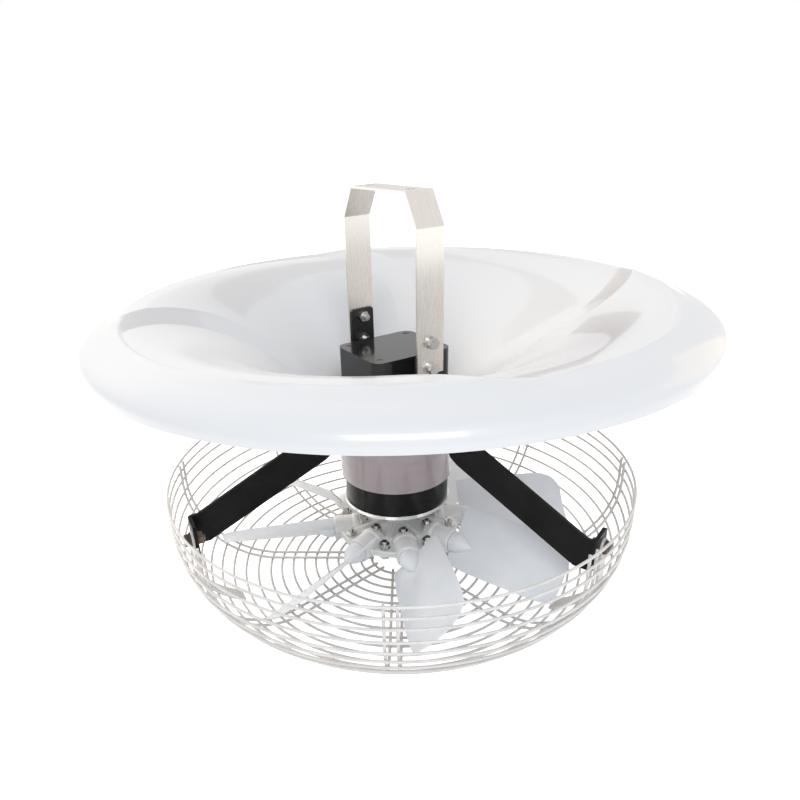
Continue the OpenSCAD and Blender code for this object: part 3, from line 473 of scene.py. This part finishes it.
# Blades: a cambered, twisted sheet on a shank, in millimetres and degrees
hub_low, hub_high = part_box("hub_upper_half")
HUB_Z = hub_low.z / MM
HUB_R = 99.0
BLADES = 8
BLADE_TURN = 360.0 / BLADES
BLADE_START = 21.0
BLADE_ROOT = HUB_R + 2.0
BLADE_TIP = 268.0
LEAD = 37.0
TRAIL = 58.0
PITCH_ROOT = 47.0
PITCH_TIP = 41.0
CAMBER = -4.0
BLADE_T = 3.0
EDGE_T_SHARE = 0.1
EDGE_POWER = 10
TIP_SHARE = 0.999
BLADE_CREASE = 40.0
ROOT_ROWS = 26
TIP_ROWS = 22
TIP_FROM = 0.85
BLADE_COLS = 27

# Shares of the leading and the trailing width on the way from root to tip
lead_line = [
    (0.0, 0.85), (0.03, 0.89), (0.08, 0.93), (0.2, 0.985), (0.4, 1.0), (0.75, 1.0),
    (0.85, 0.99), (0.92, 0.96), (0.96, 0.92), (0.985, 0.88), (0.997, 0.84), (1.0, 0.8),
]
trail_line = [
    (0.0, 0.96), (0.03, 0.968), (0.08, 0.977), (0.2, 0.99), (0.4, 1.0), (0.75, 1.0),
    (0.85, 0.965), (0.92, 0.88), (0.96, 0.77), (0.985, 0.64), (0.997, 0.53), (1.0, 0.45),
]


def blade_point(s, u, side):
    """A point at share s of the blade's length and u of its width, on its upper or lower side."""
    lead = -LEAD * along(s, lead_line)
    trail = TRAIL * along(s, trail_line)
    pitch = math.radians(PITCH_ROOT + (PITCH_TIP - PITCH_ROOT) * s)
    across = lead + (trail - lead) * u
    edge = max(0.0, 1.0 - (2.0 * u - 1.0) ** EDGE_POWER) ** 0.5
    if s > TIP_SHARE:
        edge = 0.0
    half_t = (EDGE_T_SHARE + (1.0 - EDGE_T_SHARE) * edge) * BLADE_T / 2
    lift = CAMBER * (1.0 - (2.0 * u - 1.0) ** 2) + side * half_t
    x = BLADE_ROOT + s * (BLADE_TIP - BLADE_ROOT)
    y = across * math.cos(pitch) - lift * math.sin(pitch)
    z = across * math.sin(pitch) + lift * math.cos(pitch)
    return x, y, z


def sheet_faces(rows, count):
    """Quads of an upper and a lower skin of rows by count points, closed on all four sides."""
    low = rows * count
    end = (rows - 1) * count
    faces = []
    for j in range(rows - 1):
        for k in range(count - 1):
            a = j * count + k
            faces.append((a, a + count, a + count + 1, a + 1))
            faces.append((low + a, low + a + 1, low + a + count + 1, low + a + count))
    for j in range(rows - 1):
        a = j * count
        b = a + count - 1
        faces.append((a, low + a, low + a + count, a + count))
        faces.append((b, b + count, low + b + count, low + b))
    for k in range(count - 1):
        faces.append((k, k + 1, low + k + 1, low + k))
        faces.append((end + k, low + end + k, low + end + k + 1, end + k + 1))
    return faces


def blade_sheet():
    """Points and faces of one blade, with finer rows towards its round tip."""
    near = np.linspace(0, TIP_FROM, ROOT_ROWS)
    far = np.linspace(TIP_FROM, 1.0, TIP_ROWS)
    shares = np.unique(np.concatenate([near, far]))
    across = 0.5 - 0.5 * np.cos(np.linspace(0, math.pi, BLADE_COLS))
    points = [blade_point(s, u, side) for side in (1.0, -1.0) for s in shares for u in across]
    return points, sheet_faces(len(shares), len(across))


# Blade roots: a round shank that ends in a bullet, turned about the blade's own axis
SHANK_R = 13.0
SHANK_START = 62.5
FAIRING_X = HUB_R + 1.0
FAIRING_R = 14.5
FAIRING_L = 31.0
FAIRING_FLAT = 6.0
FAIRING_CURVE = 1.7
FAIRING_STEPS = 18
FAIRING_TIP_R = 0.3
GROOVE_W = 1.5
GROOVE_R = FAIRING_R - 1.8
CORNER = 0.1
SHANK_SIDES = 40


def spun(profile, sides):
    """Points and faces of a profile of (x, r) turned about the X axis."""
    points, faces = [], []
    for x, r in profile:
        for k in range(sides):
            a = 2 * math.pi * k / sides
            points.append((x, r * math.cos(a), r * math.sin(a)))
    for j in range(len(profile) - 1):
        for k in range(sides):
            n = (k + 1) % sides
            faces.append((j * sides + k, j * sides + n, (j + 1) * sides + n, (j + 1) * sides + k))
    faces.append(tuple(reversed(range(sides))))
    faces.append(tuple((len(profile) - 1) * sides + k for k in range(sides)))
    return points, faces


def bullet():
    """A shank with a groove before its fairing, which narrows to a blunt point."""
    profile = [(SHANK_START, SHANK_R), (FAIRING_X - GROOVE_W, SHANK_R)]
    profile += [(FAIRING_X - GROOVE_W + CORNER, GROOVE_R), (FAIRING_X, GROOVE_R)]
    profile.append((FAIRING_X + CORNER, FAIRING_R))
    for k in range(1, FAIRING_STEPS + 1):
        t = k / FAIRING_STEPS
        r = max(FAIRING_TIP_R, FAIRING_R * (1 - t ** FAIRING_CURVE))
        profile.append((FAIRING_X + FAIRING_FLAT + (FAIRING_L - FAIRING_FLAT) * t, r))
    return spun(profile, SHANK_SIDES)


def add_blades():
    """Eight pieces, each a blade with its root, that turn with the rotor."""
    blade_points, blade_faces = blade_sheet()
    root_points, root_faces = bullet()
    shift = len(blade_points)
    points = np.array(blade_points + root_points)
    faces = blade_faces + [tuple(v + shift for v in f) for f in root_faces]
    for k in range(BLADES):
        x, y = around(BLADE_START + k * BLADE_TURN, points[:, 0], points[:, 1])
        placed = np.stack([x, y, points[:, 2] + HUB_Z], 1) * MM
        name = "blade_%d" % (k + 1)
        made = add_mesh("white_" + name, placed, faces, "rotor", "white_blade", name)
        sharp_edges(made, BLADE_CREASE)


add_blades()


# Hub: each half is one casting, so its solids are fused and its corners softened
DISC_R = 64.0
DISC_T = 10.0
PLATE_R = 92.0
PLATE_T = 5.0
BOSS_R = 22.0
UPPER_BOSS_H = (hub_high.z - hub_low.z) / MM
LOWER_BOSS_H = DISC_T + 2.0
SOCKET_R = 18.0
SOCKET_START = DISC_R - 8.0
COLLAR_R = SOCKET_R + 1.5
COLLAR_ENDS = (DISC_R - 2.0, DISC_R + 5.0)
RIB_T = 5.0
RIB_H = DISC_T + 3.0
RIB_ENDS = (BOSS_R - 2.0, PLATE_R - 18.0)
PAD_W = 26.4
PAD_H = PLATE_T - 0.2
PAD_ENDS = (PLATE_R - 20.0, PLATE_R)
DISC_SIDES = 72
PLATE_SIDES = 96
SOCKET_SIDES = 32
VOXEL = 1.1
SOFTEN = 0.5
SOFTEN_TIMES = 6


class Casting:
    """Closed solids that stand on the plane between the hub's halves, gathered in one mesh."""

    def __init__(self):
        self.points = []
        self.faces = []

    def between(self, near, far):
        """A solid between two outlines with as many points each."""
        base = len(self.points)
        count = len(near)
        self.points += near + far
        for k in range(count):
            n = (k + 1) % count
            self.faces.append((base + k, base + n, base + count + n, base + count + k))
        self.faces.append(tuple(base + k for k in reversed(range(count))))
        self.faces.append(tuple(base + count + k for k in range(count)))

    def upright(self, outline, height):
        self.between([(x, y, 0.0) for x, y in outline], [(x, y, height) for x, y in outline])

    def drum(self, radius, height, sides):
        turns = [2 * math.pi * k / sides for k in range(sides)]
        self.upright([(radius * math.cos(a), radius * math.sin(a)) for a in turns], height)

    def bar(self, turn, ends, width, height):
        start, end = ends
        half = width / 2
        corners = ((start, -half), (end, -half), (end, half), (start, half))
        self.upright([around(turn, x, y) for x, y in corners], height)

    def socket(self, turn, start, end, radius):
        """Half a round bar that lies along a blade's axis."""
        turns = [math.pi * k / SOCKET_SIDES for k in range(SOCKET_SIDES + 1)]
        arc = [(radius * math.cos(a), radius * math.sin(a)) for a in turns]
        near = [(*around(turn, start, y), z) for y, z in arc]
        far = [(*around(turn, end, y), z) for y, z in arc]
        self.between(near, far)


def hub_casting(boss_h):
    """Disc, plate and boss, a socket and collar for each blade, and a rib and pad between blades."""
    cast = Casting()
    cast.drum(DISC_R, DISC_T, DISC_SIDES)
    cast.drum(PLATE_R, PLATE_T, PLATE_SIDES)
    cast.drum(BOSS_R, boss_h, DISC_SIDES)
    for k in range(BLADES):
        turn = BLADE_START + k * BLADE_TURN
        between_blades = turn + BLADE_TURN / 2
        cast.socket(turn, SOCKET_START, HUB_R, SOCKET_R)
        cast.socket(turn, *COLLAR_ENDS, COLLAR_R)
        cast.bar(between_blades, RIB_ENDS, RIB_T, RIB_H)
        cast.bar(between_blades, PAD_ENDS, PAD_W, PAD_H)
    return cast


def add_hub_half(name, up, boss_h):
    """One half of the hub, with its solids over the blades' plane for up 1 and under it for -1."""
    cast = hub_casting(boss_h)
    points = np.array(cast.points)
    points[:, 2] = HUB_Z + up * points[:, 2]
    faces = cast.faces
    if up < 0:
        faces = [tuple(reversed(f)) for f in faces]
    made = add_mesh("cast_" + name, points * MM, faces, "rotor", "white_casting", name)
    fused = made.modifiers.new("fused", "REMESH")
    fused.mode = "VOXEL"
    fused.voxel_size = VOXEL * MM
    fused.use_smooth_shade = True
    soft = made.modifiers.new("soft", "SMOOTH")
    soft.factor = SOFTEN
    soft.iterations = SOFTEN_TIMES


add_hub_half("hub_upper_half", 1.0, UPPER_BOSS_H)
add_hub_half("hub_lower_half", -1.0, LOWER_BOSS_H)


# Camera at the photograph's viewing angle, in metres, degrees and millimetres of lens
EYE = Vector((-0.4824, -0.7499, 0.6346))
PLAN = Vector((0.486, 0.874))
DOWN = 26.29
ROLL = -2.98
LENS = 30.22
SENSOR = 36.0
SHIFT = (0.0535, 0.0641)
CLIP = (0.02, 40.0)


def add_camera():
    """A camera that looks along the plan direction and down, then rolls a little."""
    plan = PLAN.normalized()
    down = math.radians(DOWN)
    roll = math.radians(ROLL)
    forward = Vector((plan.x * math.cos(down), plan.y * math.cos(down), -math.sin(down)))
    level = Vector((forward.y, -forward.x, 0.0)).normalized()
    over = level.cross(forward)
    right = level * math.cos(roll) + over * math.sin(roll)
    up = over * math.cos(roll) - level * math.sin(roll)
    data = bpy.data.cameras.new("camera")
    data.lens = LENS
    data.sensor_width = SENSOR
    data.shift_x, data.shift_y = SHIFT
    data.clip_start, data.clip_end = CLIP
    camera = bpy.data.objects.new("camera", data)
    bpy.context.scene.collection.objects.link(camera)
    turn = Matrix((right, up, -forward)).transposed()
    camera.matrix_world = Matrix.Translation(EYE) @ turn.to_4x4()
    bpy.context.scene.camera = camera


add_camera()


# Studio: a plain pale floor, a pale world and soft lights, in metres and watts
FLOOR_SIZE = (24.0, 24.0)
FLOOR_PAINT = (0.86, 0.86, 0.86)
FLOOR_GLOW = 0.84
WORLD_LIGHT = (0.93, 0.95, 1.0, 1.0)
WORLD_STRENGTH = 0.75
BROWN = (0.16, 0.1, 0.06)
MATT = 0.9


def aimed(staged, place, target):
    """Puts a stage object at a place with its -Z side towards a target."""
    staged.location = place
    aim = Vector(target) - Vector(place)
    staged.rotation_euler = aim.to_track_quat("-Z", "Y").to_euler()


def add_light(name, place, target, size, power, colour, mirrored=True):
    """A soft rectangular light, which glossy surfaces mirror unless mirrored is false."""
    data = bpy.data.lights.new(name, "AREA")
    data.shape = "RECTANGLE"
    data.size, data.size_y = size
    data.energy = power
    data.color = colour
    light = bpy.data.objects.new(name, data)
    bpy.context.scene.collection.objects.link(light)
    light.visible_glossy = mirrored
    aimed(light, place, target)


def add_plane(name, size, colour):
    """A flat matt rectangle on the stage, with its object and its node tree."""
    x, y = size[0] / 2, size[1] / 2
    mesh = bpy.data.meshes.new(name)
    mesh.from_pydata([(-x, -y, 0), (x, -y, 0), (x, y, 0), (-x, y, 0)], [], [(0, 1, 2, 3)])
    plane = bpy.data.objects.new(name, mesh)
    bpy.context.scene.collection.objects.link(plane)
    material = bpy.data.materials.new(name)
    material.use_nodes = True
    shader = material.node_tree.nodes["Principled BSDF"]
    shader.inputs["Base Color"].default_value = (*colour, 1)
    shader.inputs["Roughness"].default_value = MATT
    mesh.materials.append(material)
    return plane, material.node_tree


def add_card(place, target, size):
    """A brown card, unseen by the camera, that the glossy dish mirrors in its steps."""
    card, _ = add_plane("card", size, BROWN)
    card.visible_camera = False
    aimed(card, place, target)


def background_rays(tree):
    """1 for camera, glossy and transmission rays, which show the white background, otherwise 0."""
    path = tree.nodes.new("ShaderNodeLightPath")
    total = path.outputs["Is Camera Ray"]
    for kind in ("Is Glossy Ray", "Is Transmission Ray"):
        either = tree.nodes.new("ShaderNodeMath")
        either.operation = "MAXIMUM"
        tree.links.new(total, either.inputs[0])
        tree.links.new(path.outputs[kind], either.inputs[1])
        total = either.outputs[0]
    return total


def add_floor():
    """A pale floor just under the part, which looks white but keeps the part's shadow."""
    floor, tree = add_plane("floor", FLOOR_SIZE, FLOOR_PAINT)
    floor.location = (0.0, 0.0, -MM)
    glow = tree.nodes.new("ShaderNodeMath")
    glow.operation = "MULTIPLY"
    glow.inputs[1].default_value = FLOOR_GLOW
    tree.links.new(background_rays(tree), glow.inputs[0])
    shader = tree.nodes["Principled BSDF"]
    shader.inputs["Emission Color"].default_value = WHITE
    tree.links.new(glow.outputs[0], shader.inputs["Emission Strength"])


def add_world():
    """White for the rays that show the background, and a pale soft light for all others."""
    world = bpy.data.worlds.new("studio")
    bpy.context.scene.world = world
    world.use_nodes = True
    tree = world.node_tree
    light = tree.nodes["Background"]
    light.inputs["Color"].default_value = WORLD_LIGHT
    light.inputs["Strength"].default_value = WORLD_STRENGTH
    white = tree.nodes.new("ShaderNodeBackground")
    white.inputs["Color"].default_value = WHITE
    white.inputs["Strength"].default_value = 1.0
    mix = tree.nodes.new("ShaderNodeMixShader")
    tree.links.new(background_rays(tree), mix.inputs["Fac"])
    tree.links.new(light.outputs[0], mix.inputs[1])
    tree.links.new(white.outputs[0], mix.inputs[2])
    tree.links.new(mix.outputs[0], tree.nodes["World Output"].inputs["Surface"])


add_floor()
add_world()
add_card(place=(0.52, 1.3, 1.38), target=(-0.28, 0.14, 0.4), size=(0.8, 0.4))
add_card(place=(1.42, 1.3, 0.72), target=(0.28, -0.13, 0.4), size=(0.42, 0.38))
add_light(
    "front", place=(-1.0, -1.8, 2.2), target=(0, 0, 0.25), size=(1.6, 1.2),
    power=30.0, colour=(0.92, 0.965, 1.0))
add_light(
    "back", place=(-0.6, 2.2, 1.5), target=(0, 0, 0.4), size=(2.0, 1.0),
    power=56.0, colour=(1.0, 0.89, 0.76), mirrored=False)
add_light(
    "right", place=(2.2, -0.4, 1.0), target=(0, 0, 0.25), size=(1.4, 1.2),
    power=4.0, colour=(1.0, 0.72, 0.42))
add_light(
    "low", place=(-0.6, -2.0, 0.3), target=(0, 0, 0.1), size=(2.0, 0.5),
    power=3.0, colour=(0.96, 0.98, 1.0), mirrored=False)
bpy.context.scene.view_settings.view_transform = "Standard"
